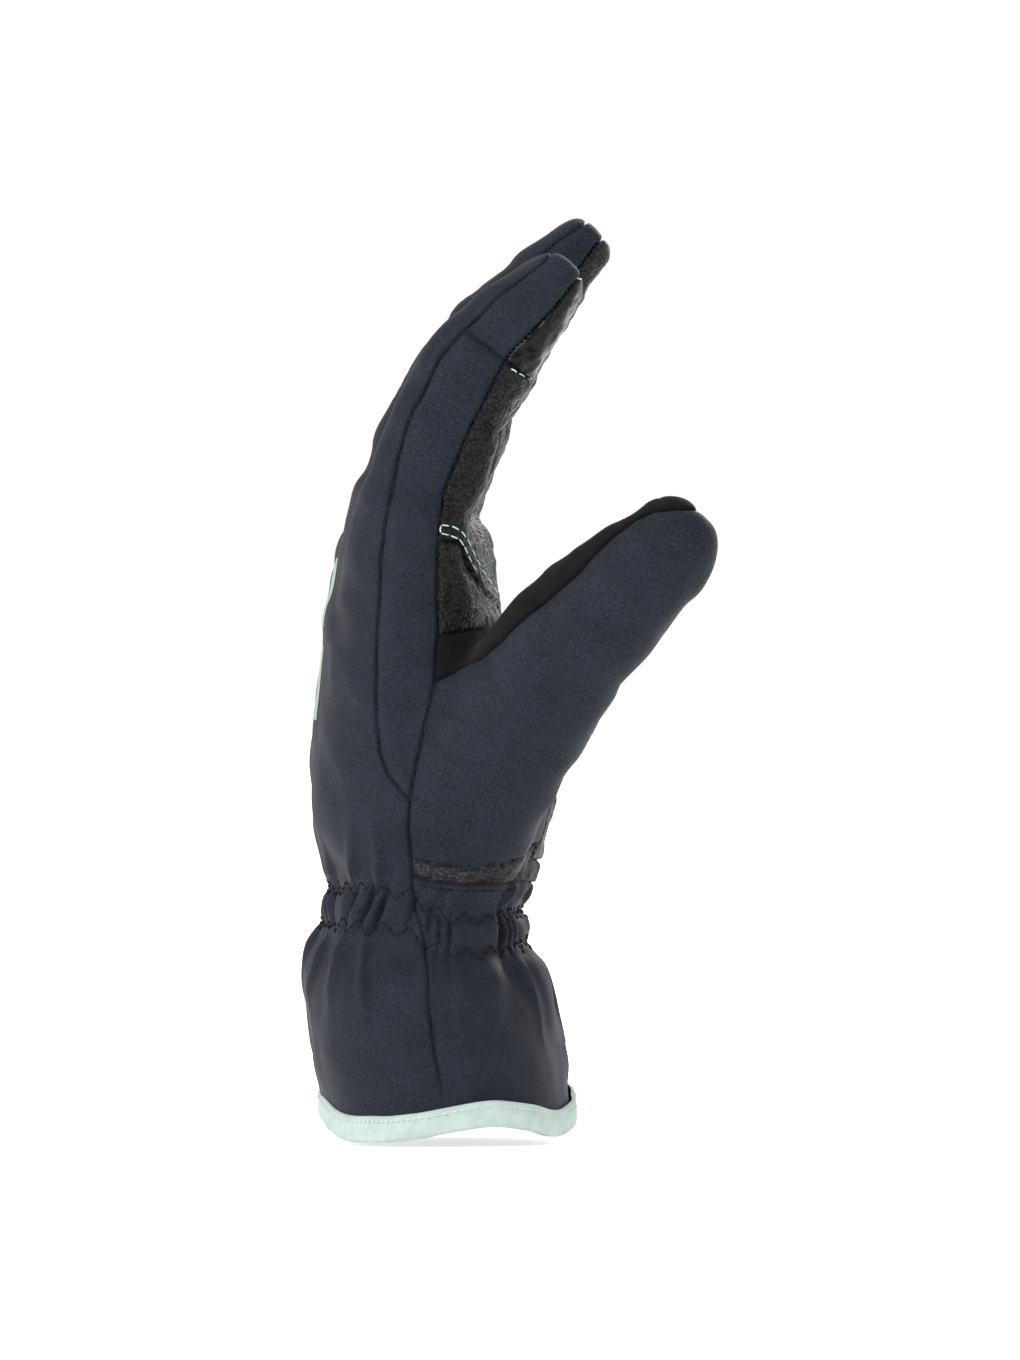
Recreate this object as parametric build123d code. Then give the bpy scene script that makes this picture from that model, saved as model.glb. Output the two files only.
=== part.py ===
from build123d import *
import math
import os

# Insulated ski glove for the left hand, standing fingers up, in millimetres.
# +Z runs from the cuff's mouth to the fingertips, +X points out of the palm, -X out of
# the back of the hand, -Y to the thumb side. The origin is the middle of the cuff's
# mouth. Each wall is an outer skin sewn from panels over a quilted liner, and the hand
# is split at the wearer's joints into bodies that turn on hinges along Y.
# The soft walls are made of small flat facets between rings of points, one ring per
# station, so that a panel and the liner under it meet facet to facet.

# ---- driving dimensions ----
SKIN = 1.2             # fabric or leather panel
LINER = 3.0            # wadding quilted to fleece, in the hand and fingers
CUFF_LINING = 1.2      # plain fleece in the cuff
GAP = 0.5              # running clearance between neighbouring bodies
BIND_HEIGHT = 7.2      # hem binding
BIND_PROUD = 0.6       # binding stands out from the cuff on both faces
BIND_FOLD = 0.9        # thickness of the binding's fold under the wall's edge
ELASTIC = 1.0          # wrist elastic, thickness
ELASTIC_LOW = 57.0
ELASTIC_HIGH = 67.0
BODY_POWER = 2.5       # roundness of a section: 2 is an ellipse
FINGER_POWER = 2.3
LEAST = 0.8            # smallest half-size of a lining's section
WIDE = 120.0           # half-length of a cutting tool along Y
FAR = 300.0            # reach of a cutting tool in XZ
DRUM_SIDES = 20        # flats on half of a joint's round face

# The hand and cuff: height, centre in X, half-depth in X, half-width in Y.
BODY_SECTIONS = [
    (0.0, 0.0, 34.0, 53.0),
    (10.0, -0.8, 34.2, 52.5),
    (22.0, -2.1, 34.0, 50.5),
    (40.0, -5.6, 32.6, 45.0),
    (52.0, -6.8, 29.0, 39.5),
    (62.0, -5.9, 26.4, 37.0),
    (72.0, -4.8, 28.0, 39.0),
    (84.0, -4.8, 31.0, 42.5),
    (105.0, -7.0, 29.5, 45.6),
    (122.0, -8.4, 26.2, 46.4),
    (142.0, -8.6, 23.4, 46.6),
    (158.0, -8.6, 20.4, 46.6),
    (170.0, -8.0, 17.6, 46.4),
    (184.0, -4.5, 15.0, 46.0),
]
# Side seam of the cuff and hand, X at each height; past SPLIT_Z it parts round the
# side panel into a seam on the back and one on the palm.
SPLIT_Z = 90.8
SIDE_SEAM = [(0.0, 0.4), (10.0, 0.2), (24.0, -3.1), (47.0, -5.1), (61.6, -8.2),
             (74.5, -9.4), (83.0, -10.2), (SPLIT_Z, -9.6)]
BACK_SEAM = SIDE_SEAM + [(97.6, -15.6), (111.0, -18.6), (136.0, -18.6), (155.0, -17.5),
                         (184.0, -12.0)]
PALM_SEAM = SIDE_SEAM + [(101.0, -8.2), (122.0, -3.1), (136.0, -1.7), (155.0, -2.3),
                         (184.0, 2.0)]
HEEL_STRIP = (68.3, 73.6)
THUMB_PANEL_TOP = 130.0
CROTCH_PATCH_TOP = 159.0
THUMB_SIDE = 33.0      # the thumb's outer panel ends this far out on the palm
BODY_HEIGHTS = [0.0, BIND_FOLD, BIND_HEIGHT, 15.0, 24.0, 33.0, 42.0, 50.0, ELASTIC_LOW, 62.0,
                ELASTIC_HIGH, HEEL_STRIP[0], HEEL_STRIP[1], 82.0, SPLIT_Z, 97.6, 105.0,
                113.0, 122.0, THUMB_PANEL_TOP, 140.0, 150.0, CROTCH_PATCH_TOP, 168.0, 176.0, 184.0]
PALM_COLUMNS = 10      # facets round the palm, without the stretch beside the thumb
NEAR_COLUMNS = 3
LENS_COLUMNS = 2
BACK_COLUMNS = 14

# Each finger: middle in Y, web in X and Z, length, half-width, half-thickness, fan, and
# lean towards the palm at its tip, in degrees.
FINGERS = {
    "index": (-34.4, -9.4, 168.0, 78.5, 11.2, 13.6, -0.02, 50.0),
    "middle": (-10.7, -8.5, 170.0, 87.0, 11.6, 14.2, 0.0, 50.0),
    "ring": (13.1, -8.5, 168.0, 81.0, 11.3, 13.8, 0.0, 46.0),
    "little": (35.9, -8.0, 160.0, 64.0, 10.6, 12.0, 0.03, 34.0),
}
TILT_BASE = 14.0       # lean of a finger at the web
TILT_POWER = 0.8       # and how it grows along the finger
KNUCKLE_SHARE = 0.105  # hinge's distance from the web, as a share of the length
MIDDLE_SHARE = 0.385
KNUCKLE_REACH = 0.75   # half-length of a joint over the finger's half-thickness
MIDDLE_REACH = 0.55
PAD_SHARE = 0.57       # the index fingertip's smooth pad starts here
# Half-thickness and half-width along a finger, as shares of those at the web.
THICKNESS = [(-0.14, 1.0), (0.0, 1.0), (0.2, 0.96), (0.4, 0.92), (0.6, 0.88),
             (0.78, 0.76), (0.9, 0.59), (1.0, 0.37)]
WIDTH = [(-0.14, 1.0), (0.0, 1.0), (0.2, 1.0), (0.4, 0.99), (0.6, 0.96),
         (0.78, 0.89), (0.9, 0.78), (1.0, 0.6)]
FINGER_STATIONS = [-0.14, 0.0, 0.12, 0.25, 0.385, 0.48, PAD_SHARE, 0.68, 0.78, 0.86,
                   0.93, 1.0]
FINGER_BACK = -0.6     # seams along a finger, over its half-thickness from its middle
FINGER_PALM = 0.48
FINGER_COLUMNS = (5, 3, 5, 3)   # facets round the palm, one side, the back, the other

# The thumb's line: X, Y, Z, half-depth in the XZ plane, half-width in Y.
THUMB_SECTIONS = [
    (4.0, -33.0, 86.0, 19.0, 13.5),
    (14.0, -41.0, 106.0, 20.6, 15.0),
    (24.5, -49.0, 122.5, 20.6, 15.2),
    (32.3, -54.5, 132.9, 18.7, 15.0),
    (39.8, -58.0, 139.8, 17.6, 14.2),
    (47.0, -61.0, 146.4, 16.2, 13.2),
    (53.0, -62.8, 152.1, 14.6, 12.3),
    (58.5, -63.8, 157.4, 12.7, 11.0),
    (63.5, -64.4, 162.2, 10.2, 9.0),
    (67.5, -64.8, 165.8, 6.2, 6.0),
]
THUMB_BASE_AT = 3      # stations of the thumb's two hinges in THUMB_SECTIONS
THUMB_TIP_AT = 5
THUMB_REACH = 0.44
THUMB_SEAM = -0.72     # seam between the outer panel and the inner strip
THUMB_BACK = 4.0       # the outer panel runs this far past the thumb's middle in Y
THUMB_COLUMNS = (8, 6, 4)       # facets round the outer panel, the leather, the strip

WRIST = (-5.9, 62.0)   # hinge of the wrist, X and Z
WRIST_RADIUS = 31.0

STRIPE_Y = (-16.0, -6.0)  # soft-printed bar down the back of the hand
STRIPE_ROWS = [(113.0, 130.0), (140.0, 159.0)]
STRIPE_THICKNESS = 0.3


# ---- tables and sections ----
def along(table, at, column=1):
    """Value at a place along a table, on a smooth curve through its rows."""
    last = len(table) - 1
    i = max([k for k in range(last) if table[k][0] <= at] or [0])
    x0, x1 = table[i][0], table[i + 1][0]
    y0, y1 = table[i][column], table[i + 1][column]

    def slope(k):
        a, b = max(k - 1, 0), min(k + 1, last)
        return (table[b][column] - table[a][column]) / (table[b][0] - table[a][0])

    t = (at - x0) / (x1 - x0)
    m0, m1 = slope(i) * (x1 - x0), slope(i + 1) * (x1 - x0)
    return ((2 * t**3 - 3 * t**2 + 1) * y0 + (t**3 - 2 * t**2 + t) * m0
            + (3 * t**2 - 2 * t**3) * y1 + (t**3 - t**2) * m1)


def straight(table, at):
    """Value at a place along a table of (place, value), by straight lines."""
    for (a, va), (b, vb) in zip(table, table[1:]):
        if at <= b:
            return va + (vb - va) * (at - a) / (b - a)
    return table[-1][1]


def bend(value, power):
    """Signed power, which turns a circle's point into a superellipse's."""
    return math.copysign(abs(value) ** (2 / power), value)


def angle_across(share, power):
    """Angle at which a section's first coordinate is this share of its half-size."""
    share = max(-0.999, min(0.999, share))
    return math.acos(math.copysign(abs(share) ** (power / 2), share))


def angle_aside(share, power):
    """Angle at which a section's second coordinate is this share of its half-size."""
    return math.asin(share ** (power / 2))


def steps(a, b, count):
    """Evenly spaced angles from a up to, but not including, b."""
    return [a + (b - a) * k / count for k in range(count)]


def cuff_profile(z, inset):
    """Centre and half-sizes of the hand and cuff at a height."""
    cx = along(BODY_SECTIONS, z, 1)
    return cx, along(BODY_SECTIONS, z, 2) - inset, along(BODY_SECTIONS, z, 3) - inset


# Where each run of facets starts, round a section of the hand from the palm seam on the
# thumb side: the stretch beside the thumb, the palm, the little finger's side, the back
# and the index finger's side.
NEAR_FROM = 0
FAR_FROM = NEAR_FROM + NEAR_COLUMNS
LITTLE_FROM = FAR_FROM + PALM_COLUMNS
BACK_FROM = LITTLE_FROM + LENS_COLUMNS
INDEX_FROM = BACK_FROM + BACK_COLUMNS
BODY_END = INDEX_FROM + LENS_COLUMNS


def body_angles(z):
    """Angles of a ring's points at a height, closed back to its start."""
    cx, depth, width = cuff_profile(z, 0.0)
    palm = angle_across((straight(PALM_SEAM, z) - cx) / depth, BODY_POWER)
    back = angle_across((straight(BACK_SEAM, z) - cx) / depth, BODY_POWER)
    side = angle_aside(THUMB_SIDE / width, BODY_POWER)
    turn = 2 * math.pi
    ring = steps(-palm, -side, NEAR_COLUMNS) + steps(-side, palm, PALM_COLUMNS)
    ring += steps(palm, back, LENS_COLUMNS) + steps(back, turn - back, BACK_COLUMNS)
    return ring + steps(turn - back, turn - palm, LENS_COLUMNS) + [turn - palm]


def body_grid(inset, low, high):
    """Rings of points of the hand and cuff between two of BODY_HEIGHTS."""
    rows = []
    for z in BODY_HEIGHTS:
        if low - 0.01 < z < high + 0.01:
            cx, depth, width = cuff_profile(z, inset)
            rows.append([(cx + depth * bend(math.cos(t), BODY_POWER),
                          width * bend(math.sin(t), BODY_POWER), z)
                         for t in body_angles(z)])
    return rows


def tilt_at(name, s):
    """Lean of a finger from +Z towards +X, s from its web, in degrees."""
    length, tilt_tip = FINGERS[name][3], FINGERS[name][7]
    share = min(max(s / length, 0.0), 1.0)
    return TILT_BASE + (tilt_tip - TILT_BASE) * share ** TILT_POWER


def finger_point(name, s):
    """Point on a finger's middle line, s from its web, with its lean there."""
    y, x, z, _, _, _, fan, _ = FINGERS[name]
    count = 24
    for i in range(count):
        lean = math.radians(tilt_at(name, (i + 0.5) * s / count))
        x += math.sin(lean) * s / count
        z += math.cos(lean) * s / count
    return (x, y + fan * s, z), tilt_at(name, s)


def ring_at(centre, lean, depth, width, angles, power):
    """Ring of points of a tilted section, half-deep across its lean, half-wide in Y."""
    x, y, z = centre
    c, s = math.cos(math.radians(lean)), math.sin(math.radians(lean))
    ring = []
    for t in angles:
        u = depth * bend(math.cos(t), power)
        ring.append((x + u * c, y + width * bend(math.sin(t), power), z - u * s))
    return ring


def finger_angles():
    palm = angle_across(FINGER_PALM, FINGER_POWER)
    back = angle_across(FINGER_BACK, FINGER_POWER)
    turn = 2 * math.pi
    starts = [-palm, palm, back, turn - back, turn - palm]
    ring = []
    for a, b, count in zip(starts, starts[1:], FINGER_COLUMNS):
        ring += steps(a, b, count)
    return ring + [turn - palm]


def finger_grid(name, inset):
    """Rings of points of a whole finger, ending in one point at its tip."""
    _, _, _, length, half_width, half_thick, _, _ = FINGERS[name]
    rows = []
    for share in FINGER_STATIONS:
        centre, lean = finger_point(name, min(share * length, length - inset))
        depth = max(half_thick * straight(THICKNESS, share) - inset, LEAST)
        width = max(half_width * straight(WIDTH, share) - inset, LEAST)
        rows.append(ring_at(centre, lean, depth, width, finger_angles(), FINGER_POWER))
    return rows + [[centre] * len(rows[0])]


def thumb_lean(i):
    """Direction of the thumb's line in XZ at a station, from +Z towards +X, degrees."""
    a = THUMB_SECTIONS[max(i - 1, 0)]
    b = THUMB_SECTIONS[min(i + 1, len(THUMB_SECTIONS) - 1)]
    return math.degrees(math.atan2(b[0] - a[0], b[2] - a[2]))


def thumb_angles(width):
    strip = angle_across(THUMB_SEAM, FINGER_POWER)
    edge = angle_aside(THUMB_BACK / width, FINGER_POWER)
    starts = [-strip, edge, strip, 2 * math.pi - strip]
    ring = []
    for a, b, count in zip(starts, starts[1:], THUMB_COLUMNS):
        ring += steps(a, b, count)
    return ring + [2 * math.pi - strip]


def thumb_grid(inset):
    """Rings of points of the thumb from inside the hand, ending in one point."""
    rows = []
    last = len(THUMB_SECTIONS) - 1
    for i, (x, y, z, depth, width) in enumerate(THUMB_SECTIONS):
        lean = math.radians(thumb_lean(i))
        back = inset * (i / last) ** 6
        centre = (x - back * math.sin(lean), y, z - back * math.cos(lean))
        rows.append(ring_at(centre, thumb_lean(i), max(depth - inset, LEAST),
                            max(width - inset, LEAST), thumb_angles(width), FINGER_POWER))
    return rows + [[centre] * len(rows[0])]


# ---- solids from grids of points ----
def triangle(a, b, c):
    """Flat face on three points, or nothing if they lie in line."""
    u, v, w = Vector(a), Vector(b), Vector(c)
    if (v - u).cross(w - u).length < 1e-4:
        return []
    return [Face(Wire.make_polygon([u, v, w], close=True))]


def quad(a, b, c, d):
    return triangle(a, b, c) + triangle(a, c, d)


def columns(grid, first, last):
    return [row[first:last + 1] for row in grid]


def wall(outer, inner):
    """Closed solid between two grids of points, which may go all the way round."""
    faces = []
    rows, count = len(outer), len(outer[0])
    round_it = count > 2 and all(math.dist(row[0], row[-1]) < 1e-6 for row in outer)
    for i in range(rows - 1):
        for j in range(count - 1):
            for grid in (outer, inner):
                faces += quad(grid[i][j], grid[i][j + 1], grid[i + 1][j + 1], grid[i + 1][j])
        for j in () if round_it else (0, count - 1):
            faces += quad(outer[i][j], outer[i + 1][j], inner[i + 1][j], inner[i][j])
    for i in (0, rows - 1):
        for j in range(count - 1):
            faces += quad(outer[i][j], outer[i][j + 1], inner[i][j + 1], inner[i][j])
    return closed(faces)


def plug(grid):
    """Closed solid inside a grid that goes all the way round."""
    faces = []
    for low, high in zip(grid, grid[1:]):
        for j in range(len(low) - 1):
            faces += quad(low[j], low[j + 1], high[j + 1], high[j])
    for row in (grid[0], grid[-1]):
        if math.dist(row[0], row[1]) + math.dist(row[1], row[2]) > 1e-6:
            points = [Vector(p) for p in row[:-1]]
            points = [p for k, p in enumerate(points) if (p - points[k - 1]).length > 1e-6]
            faces.append(Face(Wire.make_polygon(points, close=True)))
    return closed(faces)


def closed(faces):
    solid = Solid(Shell(faces))
    return solid if solid.volume > 0 else Solid(Shell([-face for face in faces]))


# ---- cutting tools ----
def beyond(hinge, lean, radius, y_low=-WIDE, y_high=WIDE):
    """All that lies past a hinge, and a drum about it, as one prism along Y."""
    x, z = hinge
    lean = math.radians(lean)

    def at(n, t):
        return Vector(x + n * math.cos(lean) + t * math.sin(lean), y_low,
                      z - n * math.sin(lean) + t * math.cos(lean))

    outline = [at(FAR, FAR), at(FAR, 0)]
    for k in range(DRUM_SIDES + 1):
        turn = math.pi * k / DRUM_SIDES
        outline.append(at(radius * math.cos(turn), -radius * math.sin(turn)))
    outline += [at(-FAR, 0), at(-FAR, FAR)]
    face = Face(Wire.make_polygon(outline, close=True))
    return Solid.extrude(face, Vector(0, y_high - y_low, 0))


def child_tool(joint, y_low=-WIDE, y_high=WIDE):
    return beyond(*joint, y_low, y_high)


def parent_tool(joint, y_low=-WIDE, y_high=WIDE):
    hinge, lean, radius = joint
    return beyond(hinge, lean, radius + GAP, y_low, y_high)


def knuckle(name):
    """Hinge at the root of a finger: point in XZ, lean and drum radius."""
    length, half_thick = FINGERS[name][3], FINGERS[name][5]
    (x, _, z), lean = finger_point(name, KNUCKLE_SHARE * length)
    return (x, z), lean, math.hypot(half_thick, KNUCKLE_REACH * half_thick)


def middle_joint(name):
    """Hinge part of the way up a finger."""
    length, half_thick = FINGERS[name][3], FINGERS[name][5]
    (x, _, z), lean = finger_point(name, MIDDLE_SHARE * length)
    half = half_thick * straight(THICKNESS, MIDDLE_SHARE)
    return (x, z), lean, math.hypot(half, MIDDLE_REACH * half)


def thumb_joint(i):
    """Hinge at a station of the thumb."""
    x, _, z, depth, _ = THUMB_SECTIONS[i]
    return (x, z), thumb_lean(i), math.hypot(depth, THUMB_REACH * depth)


def lane(name):
    """Width in Y that belongs to a finger at its root, up to half-way to the next."""
    names = list(FINGERS)
    i = names.index(name)
    low, high = -WIDE, WIDE
    if i > 0:
        before = FINGERS[names[i - 1]]
        low = (before[0] + before[4] + FINGERS[name][0] - FINGERS[name][4]) / 2
    if i < len(names) - 1:
        after = FINGERS[names[i + 1]]
        high = (FINGERS[name][0] + FINGERS[name][4] + after[0] - after[4]) / 2
    return low, high


def keep(name, *shapes):
    """Writes one sub-part's STEP, without crumbs that a cut may leave."""
    solids = [s for shape in shapes for s in shape.solids() if s.volume > 2.0]
    export_step(Compound(children=solids) if len(solids) > 1 else solids[0],
                f"parts/{name}.step")
    print(f"{name:22s} solids {len(solids)} volume {sum(s.volume for s in solids):9.1f}",
          "" if all(s.is_valid for s in solids) else "INVALID", flush=True)


# ---- fingers ----
def make_finger(name):
    outer = finger_grid(name, 0.0)
    middle = finger_grid(name, SKIN)
    inner = finger_grid(name, SKIN + LINER)
    low, high = lane(name)
    base_tool = child_tool(knuckle(name), low, high)
    gap_tool = parent_tool(middle_joint(name))
    tip_tool = child_tool(middle_joint(name))
    palm_end = FINGER_COLUMNS[0]
    side_end = palm_end + FINGER_COLUMNS[1]
    back_end = side_end + FINGER_COLUMNS[2]
    all_end = back_end + FINGER_COLUMNS[3]

    def panel(first, last, rows=slice(None)):
        return wall(columns(outer, first, last)[rows], columns(middle, first, last)[rows])

    palm = panel(0, palm_end)
    sides = [panel(palm_end, side_end), panel(back_end, all_end)]
    back = panel(side_end, back_end)
    liner = wall(middle, inner)
    keep(f"{name}_base_back", (back & base_tool) - gap_tool)
    keep(f"{name}_base_sides", *[(side & base_tool) - gap_tool for side in sides])
    keep(f"{name}_base_palm", (palm & base_tool) - gap_tool)
    keep(f"{name}_base_liner", (liner & base_tool) - gap_tool)
    if name == "index":
        pad_row = FINGER_STATIONS.index(PAD_SHARE)
        keep("index_touch_pad", panel(0, palm_end, slice(pad_row, None)))
        palm = panel(0, palm_end, slice(0, pad_row + 1))
    keep(f"{name}_tip_back", back & tip_tool)
    keep(f"{name}_tip_sides", *[side & tip_tool for side in sides])
    keep(f"{name}_tip_palm", palm & tip_tool)
    keep(f"{name}_tip_liner", liner & tip_tool)


# ---- thumb ----
def thumb_panels():
    """The thumb's outer panel, leather and inner strip, each whole."""
    outer, middle = thumb_grid(0.0), thumb_grid(SKIN)
    panels = {}
    first = 0
    for name, count in zip(("outer", "leather", "strip"), THUMB_COLUMNS):
        panels[name] = wall(columns(outer, first, first + count),
                            columns(middle, first, first + count))
        first += count
    return panels


def make_thumb(panels, liner):
    base_tool = child_tool(thumb_joint(THUMB_BASE_AT))
    gap_tool = parent_tool(thumb_joint(THUMB_TIP_AT))
    tip_tool = child_tool(thumb_joint(THUMB_TIP_AT))
    for name, panel in (*panels.items(), ("liner", liner)):
        keep(f"thumb_base_{name}", (panel & base_tool) - gap_tool)
        keep(f"thumb_tip_{name}", panel & tip_tool)


# ---- hand ----
def hand_trim(solid):
    """Cuts a piece of the hand at the wrist and at the knuckles."""
    solid = solid & child_tool((WRIST, 0.0, WRIST_RADIUS))
    for name in FINGERS:
        solid = solid - parent_tool(knuckle(name), *lane(name))
    return solid


def make_hand(panels, thumb_liner):
    low, top = BODY_HEIGHTS[5], BODY_HEIGHTS[-1]
    root_gap = parent_tool(thumb_joint(THUMB_BASE_AT))
    root_middle = plug(thumb_grid(SKIN))
    root_inner = plug(thumb_grid(SKIN + LINER))
    body_outer = plug(body_grid(0.0, low, top))
    body_middle = plug(body_grid(SKIN, low, top))

    def panel(first, last, z0=low, z1=top):
        piece = wall(columns(body_grid(0.0, z0, z1), first, last),
                     columns(body_grid(SKIN, z0, z1), first, last))
        return hand_trim(piece)

    keep("back_panel", panel(BACK_FROM, INDEX_FROM))
    keep("index_side_panel", panel(INDEX_FROM, BODY_END, SPLIT_Z) - root_middle)
    keep("little_side_panel", panel(LITTLE_FROM, BACK_FROM, SPLIT_Z))
    keep("wrist_panel", panel(NEAR_FROM, LITTLE_FROM, low, HEEL_STRIP[0]))
    keep("heel_strip", panel(NEAR_FROM, LITTLE_FROM, *HEEL_STRIP) - root_middle)
    keep("crotch_patch",
         panel(NEAR_FROM, FAR_FROM, THUMB_PANEL_TOP, CROTCH_PATCH_TOP) - root_middle)
    keep("palm_panel", panel(FAR_FROM, LITTLE_FROM, HEEL_STRIP[1]) - root_middle,
         panel(NEAR_FROM, FAR_FROM, CROTCH_PATCH_TOP),
         (panels["leather"] - root_gap) - body_outer)
    keep("thumb_panel", panel(NEAR_FROM, FAR_FROM, HEEL_STRIP[1], THUMB_PANEL_TOP) - root_middle,
         (panels["outer"] - root_gap) - body_outer)
    keep("thumb_gusset", (panels["strip"] - root_gap) - body_outer)

    band = wall(body_grid(SKIN, ELASTIC_LOW, ELASTIC_HIGH),
                body_grid(SKIN + ELASTIC, ELASTIC_LOW, ELASTIC_HIGH))
    keep("wrist_elastic", band)

    def lining(first, last, z0=low, z1=top):
        piece = wall(columns(body_grid(SKIN, z0, z1), first, last),
                     columns(body_grid(SKIN + LINER, z0, z1), first, last))
        return hand_trim(piece) - band - root_inner

    keep("back_liner", lining(BACK_FROM, INDEX_FROM, low, SPLIT_Z),
         lining(BACK_FROM, INDEX_FROM, SPLIT_Z))
    keep("palm_liner", lining(NEAR_FROM, FAR_FROM, low, SPLIT_Z),
         lining(FAR_FROM, LITTLE_FROM, low, SPLIT_Z),
         lining(NEAR_FROM, LITTLE_FROM, SPLIT_Z))
    keep("side_liners", lining(LITTLE_FROM, BACK_FROM, SPLIT_Z),
         lining(INDEX_FROM, BODY_END, SPLIT_Z))
    keep("thumb_root_liner", (thumb_liner - root_gap) - body_middle)


def make_stripe():
    """Bars of soft print down the back of the hand, lying on its facets."""
    centre = (BACK_FROM + INDEX_FROM) // 2
    bars = []
    for low, high in STRIPE_ROWS:
        sheet = wall(columns(body_grid(-STRIPE_THICKNESS, low, high), centre, centre + 2),
                     columns(body_grid(0.0, low, high), centre, centre + 2))
        width = STRIPE_Y[1] - STRIPE_Y[0]
        bars.append(sheet & Pos(0, sum(STRIPE_Y) / 2, 0) * Box(FAR, width, 2 * FAR))
    keep("back_stripe", *bars)


# ---- cuff ----
def make_cuff():
    top = BODY_HEIGHTS[13]
    hand = parent_tool((WRIST, 0.0, WRIST_RADIUS))
    outer = body_grid(0.0, BIND_FOLD, top)
    middle = body_grid(SKIN, BIND_FOLD, top)
    inside = SKIN + CUFF_LINING
    inner = body_grid(inside, BIND_FOLD, top)
    keep("cuff_palm_panel",
         wall(columns(outer, NEAR_FROM, LITTLE_FROM), columns(middle, NEAR_FROM, LITTLE_FROM)) - hand)
    keep("cuff_back_panel",
         wall(columns(outer, BACK_FROM, INDEX_FROM), columns(middle, BACK_FROM, INDEX_FROM)) - hand)
    keep("cuff_lining", wall(middle, inner) - hand)
    ring = wall(body_grid(-BIND_PROUD, 0, BIND_HEIGHT),
                body_grid(inside + BIND_PROUD, 0, BIND_HEIGHT))
    channel = wall(body_grid(0.0, BIND_FOLD, top), inner)
    keep("hem_binding", ring - channel)


os.makedirs("parts", exist_ok=True)
make_cuff()
make_stripe()
for finger in FINGERS:
    make_finger(finger)
thumb_skin = thumb_panels()
thumb_lining = wall(thumb_grid(SKIN), thumb_grid(SKIN + LINER))
make_thumb(thumb_skin, thumb_lining)
make_hand(thumb_skin, thumb_lining)
for finger in FINGERS:
    print(finger, "knuckle", knuckle(finger), "middle", middle_joint(finger))
print("thumb hinges", thumb_joint(THUMB_BASE_AT), thumb_joint(THUMB_TIP_AT))
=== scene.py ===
import math

import bpy
import numpy as np
import openvdb
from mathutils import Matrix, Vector
from mathutils.bvhtree import BVHTree
from mathutils.kdtree import KDTree


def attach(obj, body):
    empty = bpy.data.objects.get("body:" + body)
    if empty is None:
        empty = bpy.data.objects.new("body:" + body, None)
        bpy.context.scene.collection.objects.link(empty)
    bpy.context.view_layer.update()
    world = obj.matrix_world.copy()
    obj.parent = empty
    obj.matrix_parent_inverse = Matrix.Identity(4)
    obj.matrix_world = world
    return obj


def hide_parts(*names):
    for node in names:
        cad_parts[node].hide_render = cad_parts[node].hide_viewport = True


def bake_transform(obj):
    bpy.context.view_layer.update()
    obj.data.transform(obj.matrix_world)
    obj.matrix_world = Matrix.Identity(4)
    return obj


# Looks of the insulated ski glove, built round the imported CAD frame. The whole soft
# outside is one closed surface taken from a field of distances, cut along the seams into
# its panels, puffed and gathered, and shared out to the bodies that it rides on.
# Lengths are in millimetres until a mesh is made. +X is the palm, -Y the thumb side.

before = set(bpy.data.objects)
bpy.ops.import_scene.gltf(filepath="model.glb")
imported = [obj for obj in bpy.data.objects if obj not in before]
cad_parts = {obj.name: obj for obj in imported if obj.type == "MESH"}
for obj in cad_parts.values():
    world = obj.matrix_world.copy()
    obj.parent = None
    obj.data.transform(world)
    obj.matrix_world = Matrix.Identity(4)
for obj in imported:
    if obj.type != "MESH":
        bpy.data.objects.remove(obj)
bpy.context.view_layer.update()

# ---- driving dimensions ----
MM = 0.001
CELL = 1.0      # size of the field's cells
LOW, HIGH = (-46.0, -88.0, -6.0), (82.0, 60.0, 254.0)
BODY_POWER = 2.5                       # roundness of a section: 2 is an ellipse
TUBE_POWER = 2.3
SEED = 7
NOISE_CELLS = 32                       # the noise repeats after this many of its features

# The hand and cuff: height, back and palm in X, half-width in Y.
BODY = [
    (-8.0, -33.6, 34.2, 53.0), (6.0, -33.7, 33.8, 52.8), (12.0, -34.7, 33.0, 52.2),
    (22.0, -36.2, 31.9, 50.3), (33.0, -37.8, 29.6, 47.4), (42.0, -38.2, 26.2, 44.4),
    (48.0, -36.8, 22.6, 41.2), (55.0, -34.0, 19.8, 38.2), (62.0, -31.2, 19.2, 36.6),
    (70.0, -31.4, 23.2, 38.4), (76.0, -33.0, 25.6, 40.2), (83.0, -35.2, 27.0, 42.3),
    (95.0, -36.0, 28.8, 44.6), (105.0, -35.9, 26.5, 45.6), (119.0, -34.8, 18.6, 46.3),
    (136.0, -33.0, 15.6, 46.5), (146.0, -31.3, 13.7, 46.6), (158.0, -28.8, 11.7, 46.6),
    (168.0, -25.8, 10.0, 46.4), (184.0, -20.6, 10.0, 46.0),
]
WEB = [(-34.4, 167.0), (-10.7, 169.0), (13.1, 167.5), (35.9, 159.0)]   # web height over Y

# Each finger: middle in Y, web in X and Z, length, half-width, half-thickness, fan, and
# lean to the palm at its tip, in degrees.
FINGERS = {
    "index": (-34.4, -9.4, 168.0, 78.5, 10.7, 13.8, -0.02, 50.0),
    "middle": (-10.7, -8.5, 170.0, 88.0, 10.9, 14.0, 0.0, 50.0),
    "ring": (13.1, -8.5, 168.0, 81.0, 10.7, 13.4, 0.0, 46.0),
    "little": (35.9, -8.0, 160.0, 64.0, 10.1, 11.6, 0.03, 34.0),
}
LANES = (-22.5, 1.2, 24.5)             # Y between one finger and the next
LEAN_BASE, LEAN_POWER = 14.0, 0.8      # lean to the palm at the web, and how it grows
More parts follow.
